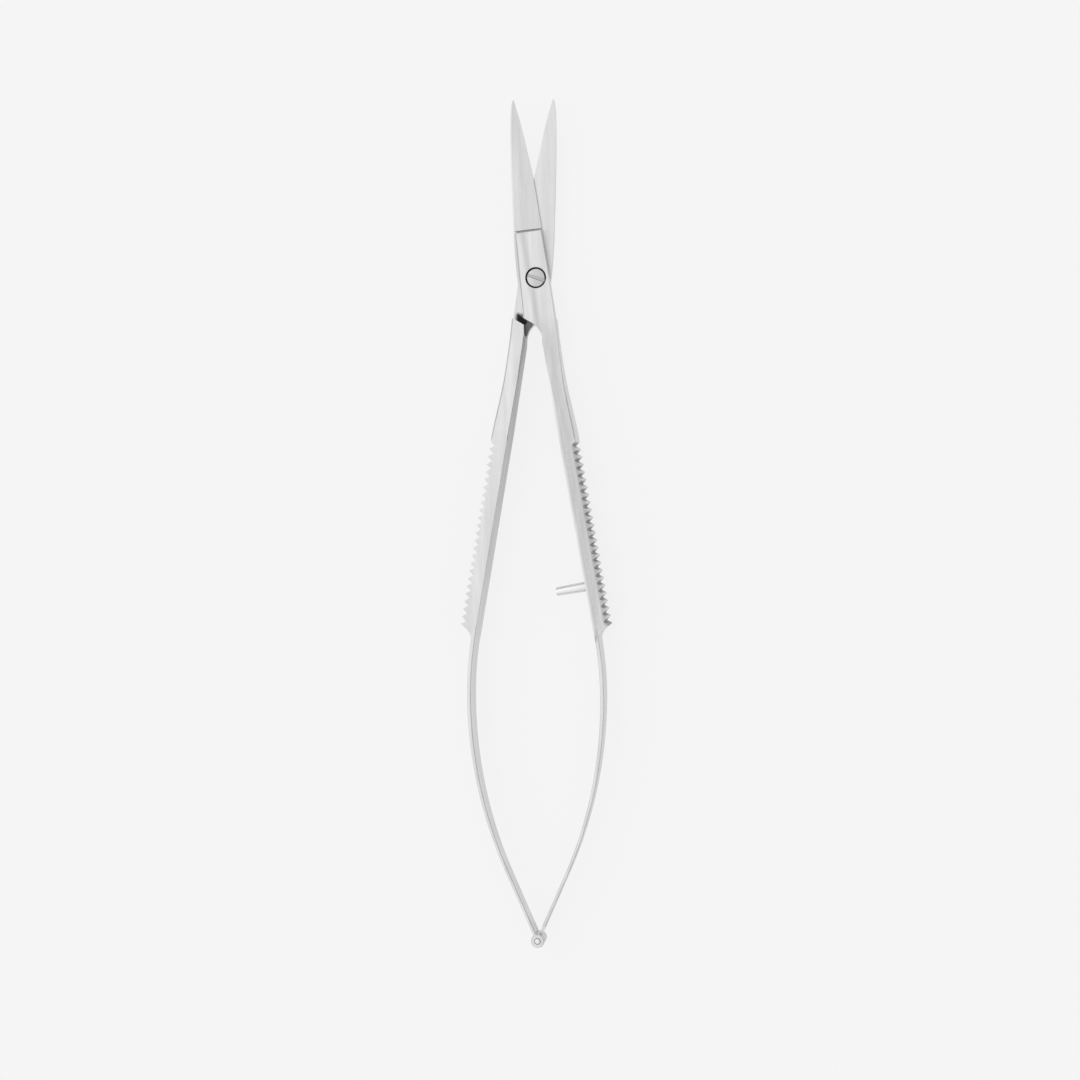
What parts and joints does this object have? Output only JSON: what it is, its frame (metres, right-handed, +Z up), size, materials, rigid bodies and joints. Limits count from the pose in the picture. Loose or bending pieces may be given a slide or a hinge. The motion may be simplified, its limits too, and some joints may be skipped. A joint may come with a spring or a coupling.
{
  "type": "eyebrow scissors",
  "caption": "Small spring-action squeeze scissors of satin steel, with short straight blades and toothed grips, lying flat.",
  "frame": {"origin": "middle of the part's box in width and length, on the table that the grips rest on", "axes": "+X across the width towards the front arm's handle, +Y along the length towards the blade tips, +Z up along the pivot screw towards its head"},
  "size_m": [0.0212, 0.1195, 0.005],
  "materials": {
    "satin_steel": "satin",
    "spring_steel": "satin",
    "screw_steel": "satin",
    "pin_steel": "polished"
  },
  "bodies": {
    "back_arm": {"back_arm": "satin_steel", "pivot_screw": "screw_steel"},
    "front_arm": {"front_arm": "satin_steel", "stop_pin": "pin_steel"},
    "back_leaf": {"back_leaf": "spring_steel", "tail_pin": "pin_steel"},
    "front_leaf": {"front_leaf": "spring_steel"}
  },
  "joints": [
    {"name": "pivot", "type": "hinge", "parent": "back_arm", "child": "front_arm", "pos_m": [0.00035, 0.03468, 0.0025], "axis": [0, 0, -1], "range_deg": [0, 13], "stiffness_Nm_per_rad": 0.1},
    {"name": "back_leaf_flex", "type": "hinge", "parent": "back_arm", "child": "back_leaf", "pos_m": [-0.0094, -0.02426, 0.0025], "axis": [0, 0, -1], "range_deg": [0, 17.2]},
    {"name": "front_leaf_flex", "type": "hinge", "parent": "front_arm", "child": "front_leaf", "pos_m": [0.0094, -0.02426, 0.0025], "axis": [0, 0, -1], "range_deg": [-18.2, 0]}
  ],
  "couplings": [
    {"joint": "back_leaf_flex", "follows": "pivot", "ratio": 1.3036},
    {"joint": "front_leaf_flex", "follows": "pivot", "ratio": -1.3847}
  ]
}
